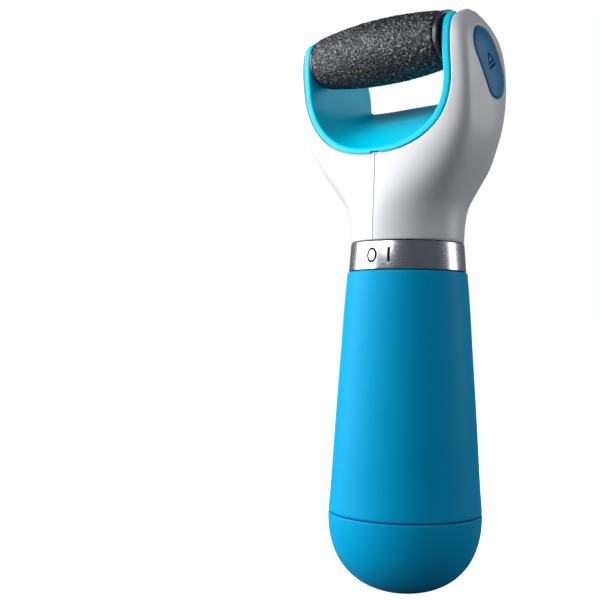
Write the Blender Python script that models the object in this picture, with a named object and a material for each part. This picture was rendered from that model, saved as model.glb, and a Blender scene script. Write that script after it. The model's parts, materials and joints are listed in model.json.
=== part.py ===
"""Electric callus remover: a battery handle with a grit roller held between two arms.

Sizes are in millimetres and become metres where the meshes are made. +Z runs up the handle, the
front is -Y, and the origin is the centre of the small flat foot under the battery cap.
"""
import math

import bmesh
import bpy
from mathutils import Vector

MM = 0.001
GAP = 0.3                                   # air between pieces that lie against each other

# Driving dimensions ---------------------------------------------------------------------------
SEAM_Z = 23.5                               # where the battery cap meets the grip
SEAM_RADIUS = 23.6
FOOT_RADIUS = 8.0
DOME_POWER = 2.35                           # squareness of the cap's dome
GRIP_TOP_Z = 96.8
GRIP_TOP_RADIUS = 18.5
WALL = 1.6                                  # plastic walls of the handle
HEAD_WALL = 1.5

RING_BOTTOM_Z = 97.1
RING_TOP_Z = 105.6
RING_BOTTOM_RADIUS = 18.1
RING_TOP_RADIUS = 17.45
RING_INNER_RADIUS = 16.9

CELL_RADIUS = 7.25                          # four AA cells
CELL_LENGTH = 50.5
CELL_BOTTOM_Z = 13.6
CELL_OFFSET = 7.4                           # from the handle's axis to a cell's axis, along X and Y

MOTOR_RADIUS = 12.0
MOTOR_BOTTOM_Z = 70.5
MOTOR_TOP_Z = 100.6

ROLLER_Y = -12.3
ROLLER_Z = 163.5
GRIT_HALF_LENGTH = 22.6
GRIT_MID_RADIUS = 10.0
GRIT_END_RADIUS = 8.2
CORE_RADIUS = 6.6
CAP_FACE_X = 24.3                           # outer faces of the roller's end caps
AXLE_HALF_LENGTH = 27.1
AXLE_FLATS = 4.0                            # across the flats of the hexagonal axle

ARM_INNER_X = 25.0                          # inner faces of the two arms
CRADLE_WALL = 1.2
RIM_OUTER_X = 27.4                          # outer edge of the cradle's front rim
RIM_DEPTH_Y = -16.6                         # the rim is thick in front of this plane

NECK_SCREW_X = 11.0                         # the screws that hold the head to the motor mount

MODULE = 0.5                                # gear tooth size
GEAR_PLANE = (-27.7, -26.5)                 # the gears that run up the left arm
STAGE_PLANE = (-8.4, -6.2)
JACK_PLANE = (-19.3, -17.5)
CROWN_Z = 117.0
PINION_TEETH = 12
CROWN_TEETH = 40
CROWN_SPUR_TEETH = 26
STAGE_LARGE_TEETH = 38
STAGE_SMALL_TEETH = 30
JACK_TEETH = 8
IDLER_TEETH = 22
HUB_TEETH = 14
TOOTH_PLAY = 0.16                           # how much each tooth is thinner than half the pitch
ADDENDUM = 0.9
DEDENDUM = 1.2

BUTTON_CENTRE = (-3.4, 157.0)               # y, z of the release button
BUTTON_LENGTH = 21.8
BUTTON_WIDTH = 10.3
BUTTON_TILT = math.radians(37.5)            # its top leans forwards
PLATE_CENTRE = (3.0, 159.0)                 # y, z of the hidden plate that carries the button
PLATE_TILT = math.radians(27)
LATCH_PIVOT = (-4.0, 154.0)
LATCH_PLANE = (26.5, 27.2)

# One row for each level of the head: z, half width, front y, back y, y of the widest place,
# squareness in front, squareness behind.
HEAD_LEVELS = [
    (105.9, 17.35, -17.35, 17.35, 0.0, 2.0, 2.0),
    (112.0, 17.7, -17.4, 17.3, 0.0, 2.05, 2.05),
    (117.0, 18.9, -17.3, 17.1, -0.5, 2.3, 2.2),
    (122.0, 21.8, -17.1, 16.9, -1.5, 2.8, 2.6),
    (128.0, 25.6, -16.9, 16.8, -3.0, 3.6, 3.1),
    (134.0, 28.6, -17.0, 16.6, -4.5, 4.6, 3.4),
    (140.0, 30.6, -17.4, 16.2, -6.0, 6.0, 3.9),
    (147.0, 31.7, -18.2, 16.2, -7.0, 8.0, 4.2),
    (154.0, 32.1, -19.0, 16.0, -8.0, 9.0, 4.3),
    (160.0, 32.0, -19.4, 14.6, -8.0, 9.0, 4.1),
    (165.0, 31.3, -18.9, 11.2, -8.0, 8.0, 4.0),
    (169.0, 29.8, -17.0, 6.0, -8.0, 6.0, 3.8),
    (171.5, 28.2, -14.0, 0.2, -8.0, 4.5, 3.5),
    (172.8, 27.0, -11.5, -4.0, -8.0, 3.5, 3.2),
]

# The hollow between the arms: y, height of its floor, squareness of its corners.
CRADLE_LEVELS = [
    (-26.0, 128.4, 2.3),
    (-17.0, 133.6, 2.3),
    (-6.0, 141.5, 4.0),
    (12.0, 150.5, 8.0),
    (26.0, 157.0, 8.0),
]
CRADLE_SPRING_Z = 154.45                    # above this the hollow's sides are straight up

HEAD_SIDES = 40
ROUND = 32
SMALL_ROUND = 16

# Materials ------------------------------------------------------------------------------------
COLOURS = {
    "blue_plastic": ((0.0, 0.33, 0.62, 1.0), 0.35, 0.0),
    "cyan_plastic": ((0.0, 0.56, 0.78, 1.0), 0.3, 0.0),
    "white_plastic": ((0.9, 0.91, 0.92, 1.0), 0.18, 0.0),
    "brushed_steel": ((0.62, 0.62, 0.63, 1.0), 0.3, 1.0),
    "steel": ((0.5, 0.5, 0.52, 1.0), 0.35, 1.0),
    "nickel": ((0.7, 0.68, 0.62, 1.0), 0.25, 1.0),
    "brass": ((0.72, 0.55, 0.25, 1.0), 0.3, 1.0),
    "grit": ((0.06, 0.065, 0.075, 1.0), 0.85, 0.0),
    "black_plastic": ((0.02, 0.02, 0.025, 1.0), 0.4, 0.0),
    "grey_plastic": ((0.25, 0.26, 0.28, 1.0), 0.5, 0.0),
    "acetal": ((0.85, 0.85, 0.8, 1.0), 0.45, 0.0),
    "cell_wrap": ((0.03, 0.1, 0.25, 1.0), 0.35, 0.0),
    "board_green": ((0.02, 0.2, 0.08, 1.0), 0.5, 0.0),
    "rubber": ((0.03, 0.03, 0.03, 1.0), 0.7, 0.0),
    "red_wire": ((0.6, 0.03, 0.03, 1.0), 0.5, 0.0),
}


def material(name):
    """A Principled BSDF material of the named finish, made once."""
    if name in bpy.data.materials:
        return bpy.data.materials[name]
    colour, roughness, metallic = COLOURS[name]
    made = bpy.data.materials.new(name)
    made.use_nodes = True
    shader = made.node_tree.nodes["Principled BSDF"]
    shader.inputs["Base Color"].default_value = colour
    shader.inputs["Roughness"].default_value = roughness
    shader.inputs["Metallic"].default_value = metallic
    return made


# Mesh helpers ---------------------------------------------------------------------------------
def add_piece(name, rings_or_mesh, finish, pivot=(0, 0, 0)):
    """Make an object from (verts, faces) in millimetres, with its origin at the pivot."""
    verts, faces = rings_or_mesh
    mesh = bpy.data.meshes.new(name)
    origin = Vector(pivot)
    mesh.from_pydata([(Vector(v) - origin) * MM for v in verts], [], faces)
    shell = bmesh.new()
    shell.from_mesh(mesh)
    bmesh.ops.recalc_face_normals(shell, faces=shell.faces)
    shell.to_mesh(mesh)
    shell.free()
    mesh.shade_smooth()
    mesh.set_sharp_from_angle(angle=math.radians(35))
    piece = bpy.data.objects.new(name, mesh)
    piece.location = origin * MM
    piece.data.materials.append(material(finish))
    bpy.context.scene.collection.objects.link(piece)
    return piece


def boolean(piece, other, operation="DIFFERENCE"):
    """Cut, join or intersect the piece with another object, which is used up."""
    bpy.context.view_layer.update()
    cut = piece.modifiers.new("cut", "BOOLEAN")
    cut.operation = operation
    cut.solver = "EXACT"
    cut.object = other
    evaluated = piece.evaluated_get(bpy.context.evaluated_depsgraph_get())
    mesh = bpy.data.meshes.new_from_object(evaluated)
    piece.modifiers.clear()
    old = piece.data
    piece.data = mesh
    mesh.name = old.name
    bpy.data.meshes.remove(old)
    bpy.data.objects.remove(other)
    return piece


def ring_faces(rows, sides, closed_rows=False):
    """Quads between consecutive rings of the same number of points."""
    faces = []
    last = rows if closed_rows else rows - 1
    for row in range(last):
        after = (row + 1) % rows
        for side in range(sides):
            beside = (side + 1) % sides
            faces.append((row * sides + side, row * sides + beside,
                          after * sides + beside, after * sides + side))
    return faces


def loft(rings):
    """A solid through rings of points, closed by a flat face at each end."""
    sides = len(rings[0])
    verts = [point for ring in rings for point in ring]
    faces = ring_faces(len(rings), sides)
    faces.append(tuple(reversed(range(sides))))
    faces.append(tuple(range((len(rings) - 1) * sides, len(rings) * sides)))
    return verts, faces


def placed(axis, radius, angle, along, centre):
    """A point at a radius and angle about an axis through the centre."""
    across = radius * math.cos(angle)
    up = radius * math.sin(angle)
    if axis == "Z":
        return (centre[0] + across, centre[1] + up, along)
    if axis == "X":
        return (along, centre[0] + across, centre[1] + up)
    return (centre[0] + up, along, centre[1] + across)


def turned(profile, axis="Z", centre=(0, 0), sides=ROUND, tube=False):
    """A solid of revolution. The profile is (radius, along); a tube's profile is a closed loop."""
    rings = []
    for radius, along in profile:
        ring = [placed(axis, radius, 2 * math.pi * k / sides, along, centre) for k in range(sides)]
        rings.append(ring)
    if tube:
        verts = [point for ring in rings for point in ring]
        return verts, ring_faces(len(rings), sides, closed_rows=True)
    return loft(rings)


def rod(radius, start, end, axis="X", centre=(0, 0), sides=SMALL_ROUND):
    """A plain round rod."""
    return turned([(radius, start), (radius, end)], axis, centre, sides)


def pipe(outer, inner, start, end, axis="Z", centre=(0, 0), sides=ROUND):
    """A plain tube."""
    loop = [(outer, start), (outer, end), (inner, end), (inner, start)]
    return turned(loop, axis, centre, sides, tube=True)


def box(low, high):
    """A block between two corners."""
    rings = []
    for z in (low[2], high[2]):
        rings.append([(low[0], low[1], z), (high[0], low[1], z),
                      (high[0], high[1], z), (low[0], high[1], z)])
    return loft(rings)


def prism(outline, start, end, axis="X"):
    """An outline pushed along an axis: (y, z) points along X, or (x, y) points along Z."""
    if axis == "X":
        return loft([[(x, y, z) for y, z in outline] for x in (start, end)])
    return loft([[(x, y, z) for x, y in outline] for z in (start, end)])


def coil(radius, wire, start, end, turns, axis="Z", centre=(0, 0), steps=9, sides=4):
    """A coil spring: a wire swept along a helix, with flat ends."""
    rings = []
    total = int(turns * steps)
    rise = (end - start) / total
    for step in range(total + 1):
        angle = 2 * math.pi * step / steps
        along = start + rise * step
        ring = []
        for k in range(sides):
            turn = 2 * math.pi * k / sides
            ring.append(placed(axis, radius + wire * math.cos(turn), angle,
                               along + wire * math.sin(turn), centre))
        rings.append(ring)
    return loft(rings)


def wire(route, radius, steps=4, sides=6):
    """An insulated wire along a smooth curve through the route's points."""
    points = []
    padded = [route[0]] + list(route) + [route[-1]]
    for a, b, c, d in zip(padded, padded[1:], padded[2:], padded[3:]):
        for step in range(steps):
            t = step / steps
            points.append([0.5 * (2 * b[i] + (c[i] - a[i]) * t
                                  + (2 * a[i] - 5 * b[i] + 4 * c[i] - d[i]) * t * t
                                  + (3 * b[i] - a[i] - 3 * c[i] + d[i]) * t ** 3)
                           for i in range(3)])
    points.append(route[-1])
    rings = []
    side_way = Vector((1, 0, 0))
    for k, point in enumerate(points):
        before = Vector(points[max(k - 1, 0)])
        after = Vector(points[min(k + 1, len(points) - 1)])
        along = (after - before).normalized()
        side_way = (side_way - along * side_way.dot(along)).normalized()
        up_way = along.cross(side_way)
        rings.append([Vector(point) + side_way * radius * math.cos(2 * math.pi * j / sides)
                      + up_way * radius * math.sin(2 * math.pi * j / sides)
                      for j in range(sides)])
    return loft(rings)


def cut(piece, *shapes):
    """Remove each (verts, faces) shape from the piece."""
    for shape in shapes:
        boolean(piece, add_piece("cutter", shape, "steel"))
    return piece


def join(piece, *shapes):
    """Add each (verts, faces) shape to the piece as one body."""
    for shape in shapes:
        boolean(piece, add_piece("addition", shape, "steel"), "UNION")
    return piece


# Head surface ---------------------------------------------------------------------------------
def smooth_row(table, place):
    """The table's row at a place, by a smooth curve through the rows."""
    last = len(table) - 2
    index = 0
    while index < last and table[index + 1][0] <= place:
        index += 1
    before = table[max(index - 1, 0)]
    low = table[index]
    high = table[index + 1]
    after = table[min(index + 2, len(table) - 1)]
    span = high[0] - low[0]
    t = (place - low[0]) / span
    row = [place]
    for column in range(1, len(low)):
        start_slope = (high[column] - before[column]) / max(high[0] - before[0], 0.001) * span
        end_slope = (after[column] - low[column]) / max(after[0] - low[0], 0.001) * span
        row.append((2 * t ** 3 - 3 * t ** 2 + 1) * low[column]
                   + (t ** 3 - 2 * t ** 2 + t) * start_slope
                   + (3 * t ** 2 - 2 * t ** 3) * high[column]
                   + (t ** 3 - t ** 2) * end_slope)
    return row


def signed_power(value, power):
    return math.copysign(abs(value) ** power, value)


def head_ring(z, inset=0.0):
    """The head's outline at a level, moved inwards by the inset."""
    half_width, front, back, middle, front_power, back_power = smooth_row(HEAD_LEVELS, z)[1:]
    ring = []
    for k in range(HEAD_SIDES):
        angle = 2 * math.pi * (k + 0.5) / HEAD_SIDES
        if math.sin(angle) < 0:
            power = front_power
            depth = middle - front - inset
        else:
            power = back_power
            depth = back - middle - inset
        x = (half_width - inset) * signed_power(math.cos(angle), 2 / power)
        y = middle + depth * signed_power(math.sin(angle), 2 / power)
        ring.append((x, y, z))
    return ring


def head_solid(inset=0.0, bottom=HEAD_LEVELS[0][0]):
    """The whole head as one block, before the hollow between the arms is taken out."""
    top = HEAD_LEVELS[-1][0] - inset
    levels = [bottom] + [z for z in (112, 117, 122, 128, 134, 140, 147, 154, 160, 165, 168) if z > bottom]
    levels += [169.6, top] if inset else [170.3, 171.8, top]
    rings = []
    for z in levels:
        rise = inset * max(0.0, (z - 160.0) / (top - 160.0))
        ring = head_ring(min(z + rise, HEAD_LEVELS[-1][0]), inset)
        rings.append([(x, y, z) for x, y, _ in ring])
    return loft(rings)


def cradle_profile(y, half_width, drop):
    """The U-shaped hollow's outline at one y, open far above the arms."""
    floor, power = (smooth_row(CRADLE_LEVELS, y) if -17 < y < -6 else straight_row(y))[1:]
    height = CRADLE_SPRING_Z - floor + drop
    points = [(half_width, y, 182.0)]
    steps = 16
    for k in range(steps + 1):
        angle = math.pi * k / steps
        x = half_width * signed_power(math.cos(angle), 2 / power)
        z = CRADLE_SPRING_Z - height * abs(math.sin(angle)) ** (2 / power)
        points.append((x, y, z))
    points.append((-half_width, y, 182.0))
    return points


def straight_row(y):
    """The cradle's row at a y, by straight lines between the rows."""
    for low, high in zip(CRADLE_LEVELS, CRADLE_LEVELS[1:]):
        if y <= high[0]:
            break
    t = (y - low[0]) / (high[0] - low[0])
    return [a + (b - a) * t for a, b in zip(low, high)]


def cradle_solid(rim_grow, wall_grow):
    """The hollow between the arms as a block, grown outwards at the front rim and behind it."""
    rings = []
    for y in (-26.0, -17.0, RIM_DEPTH_Y - 0.01):
        rings.append(cradle_profile(y, ARM_INNER_X + rim_grow, rim_grow * 0.7))
    for y in (RIM_DEPTH_Y, -12.0, -6.0, 2.0, 12.0, 26.0):
        rings.append(cradle_profile(y, ARM_INNER_X + wall_grow, wall_grow * 1.1))
    if abs(rim_grow - wall_grow) < 1e-6:
        del rings[2]
    return loft(rings)


# Gears ----------------------------------------------------------------------------------------
def pitch_radius(teeth):
    return teeth * MODULE / 2


def meshed_phase(phase, teeth, other_teeth, direction):
    """The other gear's tooth angle, so that its gaps meet this gear's teeth in that direction."""
    radius = pitch_radius(teeth)
    other = pitch_radius(other_teeth)
    half_pitch = math.pi * MODULE / 2
    return direction + math.pi - ((phase - direction) * radius - half_pitch) / other


def gear_outline(teeth, phase, centre):
    """Straight-flanked teeth of the module's size, thinned by the tooth play."""
    radius = pitch_radius(teeth)
    tip = radius + ADDENDUM * MODULE
    root = radius - DEDENDUM * MODULE
    half = (math.pi * MODULE / 2 - TOOTH_PLAY) / 2
    slope = math.tan(math.radians(20))
    tip_half = (half - slope * ADDENDUM * MODULE * 0.95) / tip
    root_half = (half + slope * DEDENDUM * MODULE * 0.75) / root
    points = []
    for tooth in range(teeth):
        middle = phase + 2 * math.pi * tooth / teeth
        for reach, angle in ((root, -root_half), (tip, -tip_half), (tip, tip_half), (root, root_half)):
            points.append((centre[0] + reach * math.cos(middle + angle),
                           centre[1] + reach * math.sin(middle + angle)))
    return points


def spur(teeth, phase, centre, plane, axis="X"):
    return prism(gear_outline(teeth, phase, centre), plane[0], plane[1], axis)


def step_from(centre, distance, angle):
    return (centre[0] + distance * math.cos(angle), centre[1] + distance * math.sin(angle))


def direction(start, end):
    return math.atan2(end[1] - start[1], end[0] - start[0])


def gear_train():
    """Centres (y, z) and tooth phases of the whole train, from the crown gear to the hub."""
    reach = pitch_radius
    crown = (0.0, CROWN_Z)
    stage = step_from(crown, reach(CROWN_SPUR_TEETH) + reach(STAGE_LARGE_TEETH), math.radians(73.7))
    jack = step_from(stage, reach(STAGE_SMALL_TEETH) + reach(JACK_TEETH), math.radians(93.0))
    idler_1 = step_from(jack, reach(JACK_TEETH) + reach(IDLER_TEETH), math.radians(115.0))
    hub = (ROLLER_Y, ROLLER_Z)
    far = reach(IDLER_TEETH) * 2
    near = reach(IDLER_TEETH) + reach(HUB_TEETH)
    span = math.dist(idler_1, hub)
    along = (span ** 2 + far ** 2 - near ** 2) / (2 * span)
    side = math.sqrt(far ** 2 - along ** 2)
    way = direction(idler_1, hub)
    idler_2 = step_from(step_from(idler_1, along, way), side, way - math.pi / 2)
    phases = {"hub": math.pi / 2}
    phases["idler_2"] = meshed_phase(phases["hub"], HUB_TEETH, IDLER_TEETH, direction(hub, idler_2))
    phases["idler_1"] = meshed_phase(phases["idler_2"], IDLER_TEETH, IDLER_TEETH,
                                     direction(idler_2, idler_1))
    phases["jack"] = meshed_phase(phases["idler_1"], IDLER_TEETH, JACK_TEETH,
                                  direction(idler_1, jack))
    phases["stage_small"] = meshed_phase(phases["jack"], JACK_TEETH, STAGE_SMALL_TEETH,
                                         direction(jack, stage))
    phases["stage_large"] = 0.0
    phases["crown_spur"] = meshed_phase(phases["stage_large"], STAGE_LARGE_TEETH,
                                        CROWN_SPUR_TEETH, direction(stage, crown))
    phases["crown"] = phases["crown_spur"]
    ridge_y = (phases["crown"] + math.pi / 2) * reach(CROWN_TEETH)
    phases["pinion"] = math.pi - (ridge_y + math.pi * MODULE / 2) / reach(PINION_TEETH)
    centres = {"crown": crown, "stage": stage, "jack": jack,
               "idler_1": idler_1, "idler_2": idler_2, "hub": hub}
    return centres, phases


def crown_teeth(phase):
    """Radial ridges on the side face of the crown gear, which the motor's pinion turns."""
    ridges = []
    middle_radius = pitch_radius(CROWN_TEETH)
    face = -(pitch_radius(PINION_TEETH) + DEDENDUM * MODULE)
    top = -(pitch_radius(PINION_TEETH) - 0.75 * MODULE)
    half = (math.pi * MODULE / 2 - 2 * TOOTH_PLAY) / 2
    for tooth in range(CROWN_TEETH):
        angle = phase + 2 * math.pi * tooth / CROWN_TEETH
        rings = []
        for x, wide in ((face - 0.2, half + 0.12), (face, half + 0.12), (top, half - 0.17)):
            ring = []
            for radius, sign in ((9.1, -1), (10.9, -1), (10.9, 1), (9.1, 1)):
                turn = angle + sign * wide / middle_radius
                ring.append((x, radius * math.cos(turn), CROWN_Z + radius * math.sin(turn)))
            rings.append(ring)
        ridges.append(rings)
    return ridges


def clear_scene():
    for old in list(bpy.data.objects):
        bpy.data.objects.remove(old)


# The handle -----------------------------------------------------------------------------------
def dome_radius(z, inset=0.0):
    """The battery cap's radius at a height above the foot."""
    height = 24.3
    share = min(max((SEAM_Z - z) / (height - inset), 0.0), 1.0)
    return (SEAM_RADIUS - inset) * (1 - share ** DOME_POWER) ** (1 / DOME_POWER)


def build_battery_cap():
    top = SEAM_Z - GAP
    outer = [(FOOT_RADIUS, 0.0)] + [(dome_radius(z), z) for z in (1.0, 2.4, 4.4, 7.2, 11.0, 16.0, top)]
    collar = [(SEAM_RADIUS - WALL, top), (SEAM_RADIUS - WALL, 20.6), (19.0, 20.6), (19.0, 15.0), (20.9, 14.2)]
    inner = [(dome_radius(z, WALL), z) for z in (11.0, 7.2, 4.6, 3.0)]
    floor = [(4.0, WALL + 0.4), (1.2, WALL + 0.4)]
    add_piece("battery_cap", turned(outer + collar + inner + floor), "blue_plastic")


def build_handle():
    grip_outer = [(SEAM_RADIUS - 0.1, SEAM_Z), (23.45, 25.2), (23.0, 30.3), (22.25, 42.6), (21.3, 57.5),
                  (20.25, 73.0), (19.25, 88.0), (GRIP_TOP_RADIUS, GRIP_TOP_Z)]
    grip_inner = [(radius - WALL, z) for radius, z in reversed(grip_outer)]
    add_piece("handle_grip", turned(grip_outer + grip_inner, tube=True), "blue_plastic")

    seal = [(20.8 + 0.7 * math.cos(a), 22.3 + 0.7 * math.sin(a))
            for a in (2 * math.pi * k / 6 for k in range(6))]
    add_piece("cap_seal_ring", turned(seal, tube=True, sides=32), "rubber")

    spigot = [(18.45, 19.0), (18.45, 66.0), (17.2, 67.6), (17.2, 68.4), (5.0, 68.4), (5.0, 67.2),
              (16.4, 67.2), (17.9, 65.4), (17.9, 19.0)]
    tube = add_piece("battery_tube", turned(spigot, tube=True), "grey_plastic")
    flange = pipe(21.0, 18.2, 23.9, 25.6)
    cutters = [box((-3.4, side * 14.6 - 1.6, 66.8), (3.4, side * 14.6 + 1.6, 69.0)) for side in (1, -1)]
    join(tube, flange)
    cut(tube, *cutters)


def cell_places():
    return [(CELL_OFFSET * sx, CELL_OFFSET * sy) for sx, sy in ((-1, -1), (1, -1), (1, 1), (-1, 1))]


def build_batteries():
    """Four AA cells, each second one upside down."""
    for number, (x, y) in enumerate(cell_places(), 1):
        nub_up = number % 2 == 1
        profile = [(4.6, 0.0), (4.9, 0.25), (6.6, 0.25), (CELL_RADIUS, 0.8), (CELL_RADIUS, 48.6),
                   (6.6, 49.2), (2.75, 49.2), (2.75, CELL_LENGTH)]
        if nub_up:
            places = [(r, CELL_BOTTOM_Z + z) for r, z in profile]
        else:
            places = [(r, CELL_BOTTOM_Z + CELL_LENGTH - z) for r, z in reversed(profile)]
        add_piece(f"battery_{number}", turned(places, centre=(x, y), sides=18), "cell_wrap")


def build_contacts():
    """The contact carrier in the cap, and the plates and springs at both ends of the cells."""
    dish = [(17.2, 9.0), (17.2, 12.9), (16.3, 12.9), (16.3, 10.3), (2.0, 10.3), (2.0, 9.0)]
    add_piece("cap_contact_carrier", turned(dish, tube=True, sides=24), "black_plastic")
    bottom_bridges = (("cap_contact_bridge_1", -1), ("cap_contact_bridge_2", 1))
    for name, side in bottom_bridges:
        y = side * CELL_OFFSET
        add_piece(name, box((-12.0, y - 3.6, 10.6), (12.0, y + 3.6, 10.95)), "nickel")
    top_z = CELL_BOTTOM_Z + CELL_LENGTH
    for number, (x, y) in enumerate(cell_places(), 1):
        nub_up = number % 2 == 1
        if nub_up:
            low, high = 11.5, CELL_BOTTOM_Z - 0.55
        else:
            low, high = top_z + 0.55, top_z + 2.0
        add_piece(f"contact_spring_{number}",
                  coil(3.4, 0.28, low, high, 2.0, centre=(x, y)), "nickel")
    plate_z = (top_z + 2.45, top_z + 2.8)
    add_piece("top_contact_bridge",
              box((-12.0, CELL_OFFSET - 3.6, plate_z[0]), (12.0, CELL_OFFSET + 3.6, plate_z[1])), "nickel")
    add_piece("positive_terminal",
              box((-12.0, -CELL_OFFSET - 3.6, plate_z[0]), (-2.5, -CELL_OFFSET + 3.6, plate_z[1])), "nickel")
    add_piece("negative_terminal",
              box((2.5, -CELL_OFFSET - 3.6, plate_z[0]), (12.0, -CELL_OFFSET + 3.6, plate_z[1])), "nickel")


def build_motor():
    lining = MOTOR_RADIUS - 0.8
    can = [(MOTOR_RADIUS, MOTOR_BOTTOM_Z + 2.4), (MOTOR_RADIUS, MOTOR_TOP_Z - 1.0),
           (MOTOR_RADIUS - 0.8, MOTOR_TOP_Z), (3.0, MOTOR_TOP_Z), (3.0, MOTOR_TOP_Z + 1.4),
           (1.3, MOTOR_TOP_Z + 1.4), (1.3, MOTOR_TOP_Z - 1.0), (lining, MOTOR_TOP_Z - 1.0),
           (lining, MOTOR_BOTTOM_Z + 2.4)]
    add_piece("motor_can", turned(can, tube=True, sides=24), "steel")
    magnet_top = MOTOR_TOP_Z - 4.0
    add_piece("motor_magnets", pipe(lining - GAP, 8.8, MOTOR_BOTTOM_Z + 5.5, magnet_top, sides=24),
              "grey_plastic")
    add_piece("motor_armature", pipe(8.4, 1.15, MOTOR_BOTTOM_Z + 6.5, magnet_top - 1.0, sides=24), "brass")
    bell = [(10.8, MOTOR_BOTTOM_Z), (11.3, MOTOR_BOTTOM_Z + 0.6), (11.3, MOTOR_BOTTOM_Z + 2.1),
            (1.3, MOTOR_BOTTOM_Z + 2.1), (1.3, MOTOR_BOTTOM_Z)]
    add_piece("motor_end_cap", turned(bell, tube=True, sides=24), "black_plastic")
    pinion_top = CROWN_Z - pitch_radius(CROWN_TEETH) + 2.0
    add_piece("motor_shaft", rod(1.0, MOTOR_BOTTOM_Z + 0.4, pinion_top + 0.4, "Z"), "steel")

    cradle_loop = [(14.3, 73.5), (14.3, 93.8), (16.4, 93.8), (16.4, 96.2), (15.6, 96.6), (14.6, 97.0),
                   (14.6, 105.5), (5.6, 105.5), (5.6, 103.9), (13.2, 103.9), (13.2, 101.2),
                   (12.5, 100.9), (12.5, 73.5)]
    mount = add_piece("motor_mount", turned(cradle_loop, tube=True), "grey_plastic")
    holes = [rod(1.3, 103.4, 106.5, "Z", (side * NECK_SCREW_X, 0.01), 12) for side in (1, -1)]
    cut(mount, *holes)
    for number, side in enumerate((1, -1), 1):
        screw = [(1.9, 102.5), (1.9, 103.6), (1.05, 103.65), (1.0, 109.0)]
        add_piece(f"neck_screw_{number}", turned(screw, centre=(side * NECK_SCREW_X, 0), sides=12), "steel")


def build_switch():
    """The twist ring that switches the motor, its wiper, and the contact board behind it."""
    loop = [(RING_BOTTOM_RADIUS - 0.3, RING_BOTTOM_Z), (RING_BOTTOM_RADIUS, RING_BOTTOM_Z + 0.3),
            (RING_TOP_RADIUS + 0.02, RING_TOP_Z - 0.3), (RING_TOP_RADIUS - 0.25, RING_TOP_Z),
            (RING_INNER_RADIUS, RING_TOP_Z), (RING_INNER_RADIUS, RING_BOTTOM_Z)]
    add_piece("switch_ring", turned(loop, tube=True, sides=48), "brushed_steel")
    arc = [math.radians(90 + a) for a in (-9, -3, 3, 9)]
    outline = [(16.75 * math.cos(a), 16.75 * math.sin(a)) for a in arc]
    outline += [(16.3 * math.cos(a), 16.3 * math.sin(a)) for a in reversed(arc)]
    add_piece("switch_wiper", prism(outline, 99.0, 103.5, "Z"), "brass")
    add_piece("switch_board", box((-2.4, 15.0, 98.0), (2.4, 15.75, 104.6)), "board_green")


# The head -------------------------------------------------------------------------------------
def pill(grow=0.0, middle=BUTTON_CENTRE, tilt=BUTTON_TILT):
    """The release button's outline in (y, z), or that of the plate behind it."""
    radius = BUTTON_WIDTH / 2 + grow
    reach = BUTTON_LENGTH / 2 - BUTTON_WIDTH / 2
    lean = (-math.sin(tilt), math.cos(tilt))
    points = []
    for end in (1, -1):
        centre = (middle[0] + end * reach * lean[0], middle[1] + end * reach * lean[1])
        start = tilt if end == 1 else tilt + math.pi
        for k in range(9):
            angle = start + math.pi * k / 8
            points.append((centre[0] + radius * math.cos(angle), centre[1] + radius * math.sin(angle)))
    return points


def axle_slot():
    """The upright slot in the right arm through which the roller's axle end drops in."""
    half = AXLE_FLATS / math.sqrt(3) + 0.2
    outline = [(ROLLER_Y + half * math.cos(a), ROLLER_Z + half * math.sin(a))
               for a in (math.pi + math.pi * k / 8 for k in range(9))]
    outline += [(ROLLER_Y + half, 184.0), (ROLLER_Y - half, 184.0)]
    return prism(outline, 24.0, 27.9)


def build_cradle():
    """The coloured liner between the arms, with the front rim, the hub hole and the axle slot."""
    cradle = add_piece("roller_cradle", cradle_solid(RIM_OUTER_X - ARM_INNER_X, CRADLE_WALL),
                       "cyan_plastic")
    boolean(cradle, add_piece("cutter", head_solid(0.05), "steel"), "INTERSECT")
    cut(cradle, cradle_solid(0.0, 0.0), axle_slot(),
        rod(4.3, -29.0, -23.0, "X", (ROLLER_Y, ROLLER_Z), 24))


def build_head_shells():
    """The two white halves, which meet on the plane X = 0."""
    for name, side in (("head_shell_left", -1), ("head_shell_right", 1)):
        shell = add_piece(name, head_solid(), "white_plastic")
        keep = box((0.15, -40, 90), (60, 40, 200)) if side == 1 else box((-60, -40, 90), (-0.15, 40, 200))
        boolean(shell, add_piece("cutter", keep, "steel"), "INTERSECT")
        cut(shell, head_solid(HEAD_WALL, 108.3))
        cut(shell, cradle_solid(RIM_OUTER_X - ARM_INNER_X + GAP, CRADLE_WALL + GAP))
        cut(shell, rod(9.3, 104.0, 110.0, "Z", (0, 0), 24),
            rod(1.2, 104.0, 110.0, "Z", (side * NECK_SCREW_X, 0.01), 12))
        if side == 1:
            cut(shell, prism(pill(0.35), 27.0, 34.0), axle_slot())


def build_release():
    """The sprung side button and the latch that it swings off the roller's axle."""
    button = add_piece("release_button", prism(pill(), 28.9, 34.0), "blue_plastic",
                       pivot=(28.9, *BUTTON_CENTRE))
    boolean(button, add_piece("cutter", head_solid(0.1), "steel"), "INTERSECT")
    flange = add_piece("flange", prism(pill(0.5, PLATE_CENTRE, PLATE_TILT), 28.5, 29.15), "steel")
    boolean(flange, add_piece("cutter", head_solid(HEAD_WALL + GAP, 108.3), "steel"), "INTERSECT")
    boolean(button, flange, "UNION")
    wedge = [(27.65, 157.0), (28.8, 156.0), (28.8, 160.4), (27.65, 160.4)]
    rings = [[(x, y, z) for x, z in wedge] for y in (1.0, 4.4)]
    join(button, loft(rings))
    cut(button, rod(2.7, 28.0, 30.2, "X", LATCH_PIVOT))


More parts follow.
